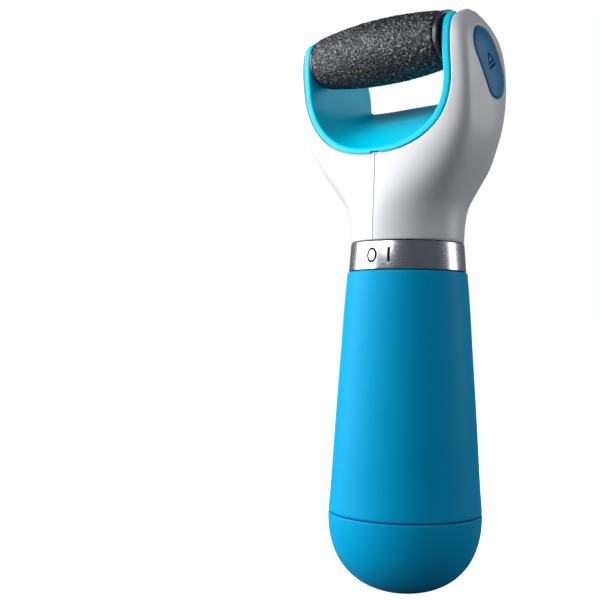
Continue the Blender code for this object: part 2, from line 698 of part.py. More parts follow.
def build_latch():
    """A flat lever whose hook closes the axle slot, its pin and its torsion spring."""
    y, z = LATCH_PIVOT
    eye = [(y + 2.2 * math.cos(a), z + 2.2 * math.sin(a)) for a in
           (math.radians(150 + 30 * k) for k in range(6))]
    outline = eye + [(y + 3.6, z - 0.2), (y + 7.6, z + 0.2), (y + 7.6, z + 1.8), (y + 3.0, z + 2.6),
                     (y + 0.4, z + 5.0), (y - 2.4, z + 9.5), (y - 2.4, z + 13.4), (y - 8.8, z + 13.4),
                     (y - 9.0, z + 12.4), (y - 5.2, z + 12.4), (y - 5.2, z + 8.4)]
    latch = add_piece("release_latch", prism(outline, *LATCH_PLANE), "steel",
                      pivot=(LATCH_PLANE[0], y, z))
    cut(latch, rod(1.05, 26.0, 28.0, "X", LATCH_PIVOT))
    add_piece("latch_pin", rod(0.9, ARM_INNER_X + CRADLE_WALL + 0.15, 28.8, "X", LATCH_PIVOT, 12), "steel")
    add_piece("latch_spring", coil(1.5, 0.2, 27.45, 28.6, 2.5, "X", LATCH_PIVOT), "steel")
    add_piece("button_spring", coil(2.2, 0.22, 26.45, 28.2, 2.0, "X", (1.0, 163.1)), "steel")


def build_gears():
    """The train from the motor's pinion to the roller's drive hub, with its axles and plates."""
    centres, phases = gear_train()
    pinion_low = CROWN_Z - pitch_radius(CROWN_TEETH) - 2.0
    pinion = add_piece("motor_pinion", spur(PINION_TEETH, phases["pinion"], (0, 0),
                                            (pinion_low, pinion_low + 4.0), "Z"), "brass")
    cut(pinion, rod(1.05, 90, 120, "Z"))

    crown_centre = centres["crown"]
    face = -(pitch_radius(PINION_TEETH) + DEDENDUM * MODULE)
    crown = add_piece("crown_gear", rod(11.0, -5.6, face, "X", crown_centre, 40), "acetal",
                      pivot=(-5.6, *crown_centre))
    for rings in crown_teeth(phases["crown"]):
        join(crown, loft(rings))
    join(crown, spur(CROWN_SPUR_TEETH, phases["crown_spur"], crown_centre, STAGE_PLANE),
         rod(3.2, -6.6, -5.2, "X", crown_centre))
    cut(crown, rod(1.15, -20, 10, "X", crown_centre, 12))
    add_piece("crown_axle", rod(1.0, -11.8, 3.4, "X", crown_centre, 12), "steel")

    stage_centre = centres["stage"]
    stage = add_piece("stage_gear", spur(STAGE_LARGE_TEETH, phases["stage_large"], stage_centre,
                                         STAGE_PLANE), "acetal", pivot=(STAGE_PLANE[0], *stage_centre))
    join(stage, rod(2.5, JACK_PLANE[0] + 0.2, STAGE_PLANE[1] - 0.2, "X", stage_centre, 14),
         spur(STAGE_SMALL_TEETH, phases["stage_small"], stage_centre, JACK_PLANE))
    cut(stage, rod(1.15, -30, 10, "X", stage_centre, 12))
    add_piece("stage_axle", rod(1.0, -20.4, 3.4, "X", stage_centre, 12), "steel")

    jack_centre = centres["jack"]
    jack = add_piece("jack_pinion", spur(JACK_TEETH, phases["jack"], jack_centre,
                                         (GEAR_PLANE[0], JACK_PLANE[1] + 0.2)), "acetal",
                     pivot=(GEAR_PLANE[0], *jack_centre))
    join(jack, rod(1.2, JACK_PLANE[1], -10.2, "X", jack_centre, 12))

    for name in ("idler_1", "idler_2"):
        centre = centres[name]
        gear = add_piece(f"arm_{name}_gear", spur(IDLER_TEETH, phases[name], centre, GEAR_PLANE),
                         "acetal", pivot=(GEAR_PLANE[0], *centre))
        cut(gear, rod(1.15, -30, -20, "X", centre, 12))
        add_piece(f"{name}_pin", rod(1.0, -28.6, -(ARM_INNER_X + CRADLE_WALL + 0.15), "X", centre, 12),
                  "steel")

    hub_centre = centres["hub"]
    hub = add_piece("drive_hub", spur(HUB_TEETH, phases["hub"], hub_centre, GEAR_PLANE),
                    "acetal", pivot=(GEAR_PLANE[0], *hub_centre))
    join(hub, rod(3.1, -27.0, -26.0, "X", hub_centre, 24), rod(3.9, -26.25, -24.75, "X", hub_centre, 24),
         rod(1.5, -28.9, -27.6, "X", hub_centre, 12))
    cut(hub, hexagon(AXLE_FLATS + 0.3, -27.35, -24.0))

    plate = [(-8.5, 112.5), (8.5, 112.5), (13.5, 121.0), (13.5, 130.0), (8.0, 142.5), (-2.0, 139.5),
             (-10.5, 133.5), (-11.5, 124.0)]
    for name, start, end in (("gearbox_plate_outer", -11.6, -10.4), ("gearbox_plate_inner", 2.0, 3.2)):
        piece = add_piece(name, prism(plate, start, end), "grey_plastic")
        cut(piece, *[rod(1.2 if key != "stage" or start > 0 else 2.8, start - 1, end + 1, "X",
                         centres[key], 14) for key in ("crown", "stage")])
        if start < 0:
            cut(piece, rod(1.4, start - 1, end + 1, "X", jack_centre, 14))
    for number, centre in enumerate(((-8.4, 131.0), (11.6, 122.0)), 1):
        add_piece(f"gearbox_post_{number}", rod(1.5, -10.2, 1.8, "X", centre, 12), "brass")


def hexagon(flats, start, end):
    """A hexagonal rod on the roller's axis."""
    reach = flats / math.sqrt(3)
    outline = [(ROLLER_Y + reach * math.cos(math.pi * k / 3), ROLLER_Z + reach * math.sin(math.pi * k / 3))
               for k in range(6)]
    return prism(outline, start, end)


def build_roller():
    """The replaceable roller: a barrel-shaped grit sleeve on a core, two end caps and a hex axle."""
    centre = (ROLLER_Y, ROLLER_Z)
    pivot = (0, ROLLER_Y, ROLLER_Z)
    outer = []
    steps = 10
    for k in range(steps + 1):
        share = 2 * k / steps - 1
        radius = GRIT_END_RADIUS + (GRIT_MID_RADIUS - GRIT_END_RADIUS) * (1 - share ** 2)
        outer.append((radius, GRIT_HALF_LENGTH * share))
    loop = outer + [(CORE_RADIUS + 0.25, GRIT_HALF_LENGTH), (CORE_RADIUS + 0.25, -GRIT_HALF_LENGTH)]
    add_piece("roller_grit_sleeve", turned(loop, "X", centre, tube=True), "grit", pivot=pivot)
    half = GRIT_HALF_LENGTH - 0.4
    core = [(CORE_RADIUS, -half), (CORE_RADIUS, half), (3.4, half), (3.4, -half)]
    add_piece("roller_core", turned(core, "X", centre, sides=24, tube=True), "black_plastic", pivot=pivot)
    for name, side in (("roller_end_cap_left", -1), ("roller_end_cap_right", 1)):
        inside = side * (GRIT_HALF_LENGTH + GAP)
        outside = side * CAP_FACE_X
        cap = [(7.6, inside), (8.0, inside + side * 0.4), (7.9, outside - side * 0.2), (7.5, outside)]
        piece = add_piece(name, turned(cap, "X", centre, sides=32), "black_plastic", pivot=pivot)
        cut(piece, hexagon(AXLE_FLATS + 0.25, min(inside, outside) - 1, max(inside, outside) + 1))
    add_piece("roller_axle", hexagon(AXLE_FLATS, -AXLE_HALF_LENGTH, AXLE_HALF_LENGTH), "acetal", pivot=pivot)


def build_leads():
    """The lead from the cells up to the switch board, and the lead back down to the motor."""
    above_tube = 69.1
    route = [(3.0, 10.0, above_tube), (3.0, 13.5, above_tube + 0.3), (2.0, 15.2, 73.0), (0.8, 15.4, 84.0),
             (1.2, 15.2, 92.0)]
    add_piece("lead_cells_to_switch", wire(route, 0.45), "red_wire")
    route = [(-3.0, 9.0, above_tube), (-3.2, 13.5, above_tube + 0.3), (-3.0, 15.2, 73.0), (-2.2, 15.4, 84.0),
             (-1.4, 15.2, 92.0)]
    add_piece("lead_switch_to_motor", wire(route, 0.45), "black_plastic")


def main():
    clear_scene()
    build_battery_cap()
    build_handle()
    build_batteries()
    build_contacts()
    build_motor()
    build_switch()
    build_cradle()
    build_head_shells()
    build_release()
    build_latch()
    build_gears()
    build_roller()
    build_leads()


main()
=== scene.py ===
"""Looks of the electric callus remover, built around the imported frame.

Lengths below are millimetres in the frame's own axes; they become metres where meshes are made.
"""
import json
import math

import bmesh
import bpy
import numpy as np
from mathutils import Matrix, Vector


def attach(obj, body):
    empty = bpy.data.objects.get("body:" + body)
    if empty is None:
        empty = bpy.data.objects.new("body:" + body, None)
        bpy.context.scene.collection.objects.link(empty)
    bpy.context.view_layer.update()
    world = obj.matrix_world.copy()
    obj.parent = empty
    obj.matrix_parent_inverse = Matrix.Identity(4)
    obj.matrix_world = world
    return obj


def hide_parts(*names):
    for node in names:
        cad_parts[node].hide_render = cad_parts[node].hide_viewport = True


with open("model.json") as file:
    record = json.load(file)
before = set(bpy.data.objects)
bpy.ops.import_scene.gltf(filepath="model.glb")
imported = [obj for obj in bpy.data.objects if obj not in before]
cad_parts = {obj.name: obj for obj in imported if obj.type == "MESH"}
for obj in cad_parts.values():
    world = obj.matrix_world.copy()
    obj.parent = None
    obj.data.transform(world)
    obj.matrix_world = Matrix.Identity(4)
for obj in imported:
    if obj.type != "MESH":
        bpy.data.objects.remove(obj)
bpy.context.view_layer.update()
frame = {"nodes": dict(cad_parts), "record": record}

MM = 0.001
rng = np.random.default_rng(7)

# Measures, mostly those of the CAD part. The head's levels, the cradle's top, the grit's overhang and
# the button's inner side are set for the looks, and differ from the CAD by about a millimetre.
SEAM_Z = 23.5
SEAM_RADIUS = 23.6
FOOT_RADIUS = 8.0
DOME_POWER = 2.35
WALL = 1.6
GRIP = [(23.5, 23.55), (25.2, 23.45), (30.3, 23.0), (42.6, 22.25), (57.5, 21.3), (73.0, 20.25),
        (88.0, 19.25), (96.8, 18.5)]
GRIP_HIGH = GRIP[-1][0]
RING_LOW, RING_HIGH = 97.1, 105.6
RING_LOW_RADIUS, RING_HIGH_RADIUS, RING_INNER_RADIUS = 18.1, 17.47, 16.9
HEAD_LOW = 105.9
ROLLER_Y, ROLLER_Z = -12.3, 163.5
GRIT_HALF, GRIT_MID, GRIT_END, GRIT_BORE = 22.6, 10.0, 8.2, 6.85
GRIT_OVERHANG = 0.7                          # the grit reaches further over the left end
CAP_FACE_X = 24.3
AXLE_FLATS = 4.0                             # across the flats of the axle's hexagon
HUB_HOLE_RADIUS = 4.3
ARM_INNER_X, CRADLE_WALL, RIM_X = 25.0, 1.2, 27.4
SPRING_Z = 154.45                            # where the arms' inner walls start above the U
CRADLE_TOP = 171.6                           # the cyan stops just under the white arms' tops
BUTTON_CENTRE = (-3.4, 157.0)                # y and z
BUTTON_LENGTH, BUTTON_WIDTH = 21.8, 10.3
BUTTON_TILT = math.radians(37.5)             # its top leans forwards
BUTTON_INNER_X = 30.3
MARK_LEAN = math.radians(18.5)               # the turn from O to I

# Height, half width, front y, back y, middle y, front power and back power of the head's outline
HEAD_LEVELS = np.array([
    (105.9, 17.35, -17.35, 17.35, 0.0, 2.0, 2.0),
    (112.0, 17.7, -17.4, 17.3, 0.0, 2.05, 2.05),
    (117.0, 18.9, -17.3, 17.1, -0.5, 2.3, 2.2),
    (122.0, 21.8, -17.1, 16.9, -1.5, 2.8, 2.6),
    (128.0, 25.6, -16.9, 16.8, -3.0, 3.6, 3.1),
    (134.0, 28.6, -16.9, 16.6, -4.5, 4.6, 3.2),
    (140.0, 30.6, -16.8, 16.2, -6.0, 6.0, 3.5),
    (147.0, 31.7, -17.5, 16.2, -7.0, 8.0, 3.6),
    (154.0, 32.03, -18.4, 16.0, -8.0, 9.0, 3.6),
    (160.0, 31.95, -19.1, 14.6, -8.0, 9.0, 3.5),
    (165.0, 31.3, -19.1, 11.2, -8.0, 8.0, 3.5),
    (169.0, 29.8, -17.8, 6.0, -8.0, 6.0, 3.5),
    (171.5, 28.2, -14.0, 0.2, -8.0, 4.5, 3.5),
    (172.8, 27.0, -11.5, -4.0, -8.0, 3.5, 3.2),
    (173.3, 25.8, -9.9, -6.2, -8.0, 3.0, 3.0),
])
# y, floor height and power of the U-shaped hollow between the arms
CRADLE_LEVELS = np.array([
    (-26.0, 128.4, 2.3),
    (-17.0, 133.6, 2.3),
    (-6.0, 141.5, 4.0),
    (12.0, 150.5, 8.0),
    (26.0, 157.0, 8.0),
])


def smooth_table(table, sigma, step=0.05):
    """Fine samples of a table: cubic through its rows, then softened with a Gaussian."""
    places = np.arange(table[0, 0], table[-1, 0] + step / 2, step)
    columns = [places]
    slopes = np.empty_like(table)
    for row in range(len(table)):
        low, high = max(row - 1, 0), min(row + 1, len(table) - 1)
        slopes[row] = (table[high] - table[low]) / (table[high, 0] - table[low, 0])
    index = np.clip(np.searchsorted(table[:, 0], places, side="right") - 1, 0, len(table) - 2)
    span = table[index + 1, 0] - table[index, 0]
    t = (places - table[index, 0]) / span
    reach = int(4 * sigma / step)
    kernel = np.exp(-0.5 * (np.arange(-reach, reach + 1) * step / sigma) ** 2)
    kernel /= kernel.sum()
    for column in range(1, table.shape[1]):
        values = ((2 * t ** 3 - 3 * t ** 2 + 1) * table[index, column]
                  + (t ** 3 - 2 * t ** 2 + t) * slopes[index, column] * span
                  + (3 * t ** 2 - 2 * t ** 3) * table[index + 1, column]
                  + (t ** 3 - t ** 2) * slopes[index + 1, column] * span)
        before = 2 * values[0] - values[reach:0:-1]
        after = 2 * values[-1] - values[-2:-reach - 2:-1]
        columns.append(np.convolve(np.concatenate([before, values, after]), kernel, "valid"))
    return np.array(columns)


HEAD = smooth_table(HEAD_LEVELS, 0.5)
CRADLE = smooth_table(CRADLE_LEVELS, 1.0)
HEAD_TOP = HEAD_LEVELS[-1, 0]


def head_row(z):
    return [np.interp(z, HEAD[0], HEAD[column]) for column in range(1, 7)]


def head_depth_and_power(z, back, inset):
    half, front_y, back_y, middle, front_power, back_power = head_row(z)
    depth = np.where(back, back_y - middle, middle - front_y) - inset
    return half - inset, middle, depth, np.where(back, back_power, front_power)


def head_y(x, z, back, inset=0.0):
    """The head's front or back surface over a point (x, z)."""
    half, middle, depth, power = head_depth_and_power(z, back, inset)
    share = np.clip(np.abs(x) / half, 0.0, 1.0)
    reach = depth * (1 - share ** power) ** (1 / power)
    return middle + np.where(back, reach, -reach)


def head_x(y, z, inset=0.0):
    """The head's right side surface over a point (y, z)."""
    middle = head_row(z)[3]
    half, middle, depth, power = head_depth_and_power(z, y > middle, inset)
    share = np.clip(np.abs(y - middle) / depth, 0.0, 1.0)
    return half * (1 - share ** power) ** (1 / power)


def head_point(turn, z, inset=0.0):
    """The head's surface at an angle about its middle: 0 is +X and a quarter turn is the back."""
    half, middle, depth, power = head_depth_and_power(z, np.sin(turn) > 0, inset)
    size = ((np.abs(np.cos(turn)) / half) ** power + (np.abs(np.sin(turn)) / depth) ** power) ** (-1 / power)
    return np.stack([size * np.cos(turn), middle + size * np.sin(turn), z + 0 * turn], -1)


def top_of(half, inset=0.0):
    """The height at which the head has narrowed to a half width."""
    upper = HEAD[0] > 158.0
    widths = HEAD[1][upper][::-1] - inset
    return float(np.interp(half, widths, HEAD[0][upper][::-1], left=HEAD_TOP))


def cradle_top(half):
    return min(top_of(half, 0.06), CRADLE_TOP)


CURVED_SHARE = 0.62                          # the U takes this share of the outline, an arm the rest


def cradle_point(t, half, drop, y, top):
    """The hollow's outline at y: t is 0 at the bottom and 1 at the top of an arm."""
    floor = np.interp(y, CRADLE[0], CRADLE[1])
    power = np.interp(y, CRADLE[0], CRADLE[2])
    height = SPRING_Z - floor + drop
    angle = (1 - np.clip(t / CURVED_SHARE, 0, 1)) * math.pi / 2
    size = ((np.cos(angle) / half) ** power + (np.sin(angle) / height) ** power) ** (-1 / power)
    rise = np.clip((t - CURVED_SHARE) / (1 - CURVED_SHARE), 0, 1)
    arm_z = SPRING_Z + (top - SPRING_Z) * (1 - (1 - rise) ** 3)
    z = np.where(rise > 0, arm_z, SPRING_Z - size * np.sin(angle))
    return np.where(rise > 0, half, size * np.cos(angle)), z


def rim_curve(t, half, drop, back, inset=0.0):
    """Where the hollow's outline, grown to a half width, leaves the head in front or behind."""
    t, half = np.broadcast_arrays(np.asarray(t, float), np.asarray(half, float))
    top = np.vectorize(cradle_top)(half[0] if half.ndim > 1 else half)
    y = np.where(back, 12.0, -17.0) + 0 * t
    for _ in range(50):
        x, z = cradle_point(t, half, drop, y, top)
        y = 0.4 * y + 0.6 * head_y(x, z, back, inset)
    return np.stack([x, y, z], -1)


# Mesh helpers ---------------------------------------------------------------------------------
def new_piece(name, verts, faces, finish, sharp=40.0):
    """A smooth-shaded mesh object from millimetres, with outward faces."""
    mesh = bpy.data.meshes.new(name)
    mesh.from_pydata((np.asarray(verts, float) * MM).tolist(), [], faces)
    shape = bmesh.new()
    shape.from_mesh(mesh)
    bmesh.ops.remove_doubles(shape, verts=shape.verts, dist=2e-7)
    bmesh.ops.recalc_face_normals(shape, faces=shape.faces)
    shape.to_mesh(mesh)
    shape.free()
    mesh.shade_smooth()
    if sharp:
        mesh.set_sharp_from_angle(angle=math.radians(sharp))
    mesh.materials.append(finish)
    piece = bpy.data.objects.new(name, mesh)
    bpy.context.scene.collection.objects.link(piece)
    return piece


def grid_faces(rows, columns, close_rows=False, close_columns=False):
    """Quads of a grid whose point (r, c) is number r * columns + c."""
    r = np.arange(rows if close_rows else rows - 1)
    c = np.arange(columns if close_columns else columns - 1)
    r, c = np.meshgrid(r, c, indexing="ij")
    after, beside = (r + 1) % rows, (c + 1) % columns
    near, far = r * columns, after * columns
    quads = np.stack([near + c, near + beside, far + beside, far + c], -1)
    return quads.reshape(-1, 4).tolist()


def revolve(name, profile, finish, axis="Z", centre=(0.0, 0.0), sides=160, closed=True, sharp=40.0):
    """A turned piece from a closed profile of (radius, along), or an open one that ends on the axis."""
    profile = np.asarray(profile, float)
    turn = np.arange(sides) * 2 * math.pi / sides
    radius, along = profile[:, :1], profile[:, 1:] + 0 * turn
    across, up = radius * np.cos(turn), radius * np.sin(turn)
    if axis == "Z":
        points = np.stack([across + centre[0], up + centre[1], along], -1)
    else:
        points = np.stack([along, across + centre[0], up + centre[1]], -1)
    faces = grid_faces(len(profile), sides, close_rows=closed, close_columns=True)
    if not closed:
        faces.append(list(range(sides)))
        faces.append(list(range((len(profile) - 1) * sides, len(profile) * sides)))
    return new_piece(name, points.reshape(-1, 3), faces, finish, sharp)


def rounded(profile, radii, steps=5):
    """A closed profile with its corners rounded: one radius for each corner."""
    points = np.asarray(profile, float)
    result = []
    for k, radius in enumerate(radii):
        corner = points[k]
        if radius <= 0:
            result.append(corner)
            continue
        before = points[k - 1] - corner
        after = points[(k + 1) % len(points)] - corner
        before_unit, after_unit = before / np.linalg.norm(before), after / np.linalg.norm(after)
        half_angle = 0.5 * math.acos(float(np.clip(before_unit @ after_unit, -1, 1)))
        back = min(radius / math.tan(half_angle), 0.49 * np.linalg.norm(before), 0.49 * np.linalg.norm(after))
        start, end = corner + before_unit * back, corner + after_unit * back
        for step in range(steps + 1):
            t = step / steps
            result.append((1 - t) ** 2 * start + 2 * t * (1 - t) * corner + t ** 2 * end)
    return np.array(result)


def apply_boolean(piece, cutter, operation="DIFFERENCE"):
    """Cuts the piece with a cutter, which is used up; new faces keep the cutter's material."""
    bpy.context.view_layer.update()
    cut = piece.modifiers.new("cut", "BOOLEAN")
    cut.operation = operation
    cut.solver = "EXACT"
    cut.material_mode = "TRANSFER"
    cut.object = cutter
    shape = bpy.data.meshes.new_from_object(piece.evaluated_get(bpy.context.evaluated_depsgraph_get()))
    piece.modifiers.clear()
    piece.data = shape
    bpy.data.objects.remove(cutter)


def slab(outline, start, end, axis, finish):
    """A prism cutter: (y, z) outlines are pushed along X, (u, z) outlines along -Y."""
    outline = np.asarray(outline, float)
    rings = []
    for along in (start, end):
        if axis == "X":
            rings.append(np.stack([along + 0 * outline[:, 0], outline[:, 0], outline[:, 1]], -1))
        else:
            rings.append(np.stack([outline[:, 0], along + 0 * outline[:, 0], outline[:, 1]], -1))
    count = len(outline)
    faces = grid_faces(2, count, close_columns=True)
    faces += [list(range(count)), list(range(count, 2 * count))]
    return new_piece("cutter", np.concatenate(rings), faces, finish, 0)


def finish_edges(piece, angle=35.0):
    piece.data.shade_smooth()
    piece.data.set_sharp_from_angle(angle=math.radians(angle))


# Materials ------------------------------------------------------------------------------------
def new_material(name, colour, roughness, metallic=0.0, coat=0.0, coat_roughness=0.1, ior=1.5):
    made = bpy.data.materials.new(name)
    made.use_nodes = True
    shader = made.node_tree.nodes["Principled BSDF"]
    shader.inputs["Base Color"].default_value = (*colour, 1.0)
    shader.inputs["Roughness"].default_value = roughness
    shader.inputs["Metallic"].default_value = metallic
    shader.inputs["Coat Weight"].default_value = coat
    shader.inputs["Coat Roughness"].default_value = coat_roughness
    shader.inputs["IOR"].default_value = ior
    return made, made.node_tree, shader


def add(tree, kind, **settings):
    node = tree.nodes.new(kind)
    for key, value in settings.items():
        if key in node.inputs:
            node.inputs[key].default_value = value
        else:
            setattr(node, key, value)
    return node


def place(tree, scale=(1, 1, 1)):
    """Object coordinates, stretched."""
    source = add(tree, "ShaderNodeTexCoord")
    mapping = add(tree, "ShaderNodeMapping")
    mapping.inputs["Scale"].default_value = scale
    tree.links.new(source.outputs["Object"], mapping.inputs["Vector"])
    return mapping.outputs["Vector"]


def noise(tree, vector, scale, detail=3.0, roughness=0.5):
    node = add(tree, "ShaderNodeTexNoise", Scale=scale, Detail=detail, Roughness=roughness)
    tree.links.new(vector, node.inputs["Vector"])
    return node.outputs["Fac"]


def remap(tree, value, low, high, from_low=0.3, from_high=0.7):
    node = add(tree, "ShaderNodeMapRange")
    node.inputs["From Min"].default_value = from_low
    node.inputs["From Max"].default_value = from_high
    node.inputs["To Min"].default_value = low
    node.inputs["To Max"].default_value = high
    tree.links.new(value, node.inputs["Value"])
    return node.outputs["Result"]


def ramp(tree, value, stops):
    node = add(tree, "ShaderNodeValToRGB")
    elements = node.color_ramp.elements
    while len(elements) < len(stops):
        elements.new(0.5)
    for element, (position, colour) in zip(elements, stops):
        element.position = position
        element.color = (*colour, 1.0)
    tree.links.new(value, node.inputs["Fac"])
    return node.outputs["Color"]


def bump(tree, shader, height, strength, distance):
    node = add(tree, "ShaderNodeBump")
    node.inputs["Strength"].default_value = strength
    node.inputs["Distance"].default_value = distance
    tree.links.new(height, node.inputs["Height"])
    tree.links.new(node.outputs["Normal"], shader.inputs["Normal"])


def moulded(name, colour, roughness, spread, grain, depth, coat=0.0, tint=0.06, shine=0.5):
    """Moulded plastic: a faint texture, slight colour drift and uneven gloss."""
    made, tree, shader = new_material(name, colour, roughness, coat=coat, coat_roughness=0.08)
    shader.inputs["Specular IOR Level"].default_value = shine
    vector = place(tree)
    drift = noise(tree, vector, 35.0, 4.0)
    darker = tuple(c * (1 - tint) for c in colour)
    lighter = tuple(min(1.0, c * (1 + tint)) for c in colour)
    tree.links.new(ramp(tree, drift, [(0.3, darker), (0.7, lighter)]), shader.inputs["Base Color"])
    tree.links.new(remap(tree, noise(tree, vector, 90.0, 5.0), roughness - spread, roughness + spread),
                   shader.inputs["Roughness"])
    bump(tree, shader, noise(tree, vector, grain, 2.0), 0.35, depth)
    return made


def brushed(name, colour, roughness, stretch, anisotropic=0.6, depth=0.00003):
    """Turned and brushed metal, with fine lines across the stretched direction."""
    made, tree, shader = new_material(name, colour, roughness, metallic=1.0)
    vector = place(tree, stretch)
    lines = noise(tree, vector, 1.0, 6.0, 0.65)
    tree.links.new(remap(tree, lines, roughness - 0.07, roughness + 0.09), shader.inputs["Roughness"])
    tree.links.new(ramp(tree, lines, [(0.3, tuple(c * 0.86 for c in colour)), (0.7, colour)]),
                   shader.inputs["Base Color"])
    shader.inputs["Anisotropic"].default_value = anisotropic
    bump(tree, shader, lines, 0.12, depth)
    return made


def gritty(name):
    """Coarse mineral grit: dark grains with pale glinting facets."""
    made, tree, shader = new_material(name, (0.05, 0.055, 0.065), 0.5)
    vector = place(tree)
    cells = add(tree, "ShaderNodeTexVoronoi", Scale=1900.0)
    tree.links.new(vector, cells.inputs["Vector"])
    parts = add(tree, "ShaderNodeSeparateColor")
    tree.links.new(cells.outputs["Color"], parts.inputs["Color"])
    tone = ramp(tree, parts.outputs["Red"], [(0.0, (0.002, 0.002, 0.004)), (0.5, (0.006, 0.007, 0.010)),
                                             (0.76, (0.016, 0.018, 0.024)), (0.92, (0.07, 0.075, 0.088)),
                                             (1.0, (0.24, 0.25, 0.28))])
    tree.links.new(tone, shader.inputs["Base Color"])
    tree.links.new(remap(tree, parts.outputs["Green"], 0.3, 0.8, 0.0, 1.0), shader.inputs["Roughness"])
    bump(tree, shader, cells.outputs["Distance"], 0.6, 0.0001)
    return made


BLUE = moulded("satin_blue_plastic", (0.0, 0.30, 0.56), 0.46, 0.03, 2600.0, 0.00001, tint=0.03, shine=0.04)
BUTTON_BLUE = moulded("satin_button_plastic", (0.0, 0.17, 0.38), 0.40, 0.04, 2400.0, 0.00001, tint=0.03,
                      shine=0.12)
CYAN = moulded("glossy_cyan_plastic", (0.0, 0.54, 0.74), 0.36, 0.04, 1500.0, 0.000004, tint=0.02, shine=0.12)
WHITE = moulded("glossy_white_plastic", (0.60, 0.605, 0.62), 0.36, 0.04, 900.0, 0.000003, tint=0.01,
                shine=0.35)
STEEL_RING = brushed("brushed_ring_steel", (0.42, 0.42, 0.44), 0.22, (25.0, 25.0, 16000.0), 0.3, 0.000006)
STEEL = brushed("plain_steel", (0.55, 0.55, 0.57), 0.32, (2500.0, 2500.0, 2500.0), 0.0)
NICKEL = brushed("nickel_plate", (0.72, 0.69, 0.62), 0.25, (1800.0, 1800.0, 1800.0), 0.0)
BRASS = brushed("machined_brass", (0.74, 0.55, 0.25), 0.3, (1500.0, 1500.0, 4000.0), 0.2)
GRIT = gritty("mineral_grit")
BLACK = moulded("black_satin_plastic", (0.012, 0.012, 0.014), 0.3, 0.06, 1800.0, 0.00002, tint=0.2)
GREY = moulded("grey_moulded_plastic", (0.16, 0.17, 0.19), 0.5, 0.06, 1800.0, 0.00003, tint=0.1)
ACETAL = moulded("natural_acetal", (0.80, 0.80, 0.75), 0.38, 0.05, 1500.0, 0.00001, tint=0.03)
WRAP = moulded("cell_wrap", (0.03, 0.07, 0.18), 0.3, 0.08, 700.0, 0.00001, coat=0.5, tint=0.2)
BOARD = moulded("solder_mask", (0.01, 0.16, 0.06), 0.35, 0.06, 900.0, 0.00001, coat=0.3, tint=0.15)
RUBBER = moulded("seal_rubber", (0.02, 0.02, 0.02), 0.65, 0.08, 1600.0, 0.00003, tint=0.2)
LEAD = moulded("red_insulation", (0.55, 0.02, 0.02), 0.45, 0.05, 1400.0, 0.00001, tint=0.1)
MARK = moulded("black_mark_paint", (0.008, 0.008, 0.01), 0.8, 0.08, 2500.0, 0.00001, tint=0.2, shine=0.02)

SLOT_FINISH = {
    "grip_blue": BLUE, "cradle_cyan": CYAN, "head_white": WHITE, "ring_steel": STEEL_RING, "grit": GRIT,
    "black_plastic": BLACK, "acetal": ACETAL, "grey_plastic": GREY, "plain_steel": STEEL,
    "nickel": NICKEL, "brass": BRASS, "cell_wrap": WRAP, "board_green": BOARD, "seal_rubber": RUBBER,
    "magnet": GREY, "windings": BRASS, "lead_red": LEAD, "lead_black": BLACK,
}
for row in frame["record"]["subparts"]:
    node = frame["nodes"][row["node"]]
    node.data.materials.clear()
    node.data.materials.append(SLOT_FINISH[row["material_slot"]])


def dress(piece, body, slot, *nodes):
    """The piece stands in for its CAD nodes, which it hides, and moves with their body; the slot is not used.
    """
    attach(piece, body)
    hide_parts(*nodes)


# Handle ---------------------------------------------------------------------------------------
def build_handle():
    low_edge, high_edge = 0.45, 0.4
    fine = smooth_table(np.array(GRIP), 1.2, 0.25)
    outer = np.stack([fine[1], fine[0]], -1)
    outer = outer[(outer[:, 1] > SEAM_Z + 0.55) & (outer[:, 1] < GRIP_HIGH - 0.5)][::3]
    start, end = outer[0, 0], outer[-1, 0]
    arc = np.radians(np.linspace(0, 90, 6))
    lower = [(start - low_edge * (1 - math.sin(a)), SEAM_Z + low_edge * (1 - math.cos(a))) for a in arc]
    upper = [(end - 0.05 - high_edge * (1 - math.cos(a)), GRIP_HIGH - high_edge * (1 - math.sin(a)))
             for a in arc]
    inner = [(end - WALL, GRIP_HIGH), (end - WALL - 0.1, 90.0), (21.0 - WALL, 60.0),
             (SEAM_RADIUS - WALL - 0.3, 30.0), (SEAM_RADIUS - WALL - 0.2, SEAM_Z)]
    profile = lower + outer.tolist() + upper + inner
    grip = revolve("handle_grip_fine", profile, BLUE)
    dress(grip, "body", "grip_blue", "handle_grip")


def dome_radius(z, inset=0.0):
    """The round cap's radius at a height."""
    share = np.clip((SEAM_Z - z) / (24.3 - inset), 0.0, 1.0)
    return (SEAM_RADIUS - inset) * (1 - share ** DOME_POWER) ** (1 / DOME_POWER)


def build_cap():
    top, lip_radius = SEAM_Z - 0.3, 0.45
    heights = (top - lip_radius) * (1 - np.cos(np.linspace(0, math.pi / 2, 40)))
    outer = [(float(dome_radius(z)), float(z)) for z in heights if z > 0.02]
    arc = np.radians(np.linspace(0, 90, 6))
    foot_edge = [(FOOT_RADIUS, 0.0)]
    lip = [(SEAM_RADIUS - lip_radius * (1 - math.cos(a)), top - lip_radius * (1 - math.sin(a)))
           for a in arc]
    inner = [(22.0, top), (22.0, 20.6), (19.0, 20.6), (19.0, 15.0), (20.9, 14.2)]
    inner += [(float(dome_radius(z, WALL)), z) for z in (11.0, 7.2, 4.6, 3.0)]
    inner += [(4.0, WALL + 0.4), (1.2, WALL + 0.4)]
    cap = revolve("battery_cap_fine", foot_edge + outer + lip + inner, BLUE, closed=False)
    dress(cap, "battery_cap", "grip_blue", "battery_cap")


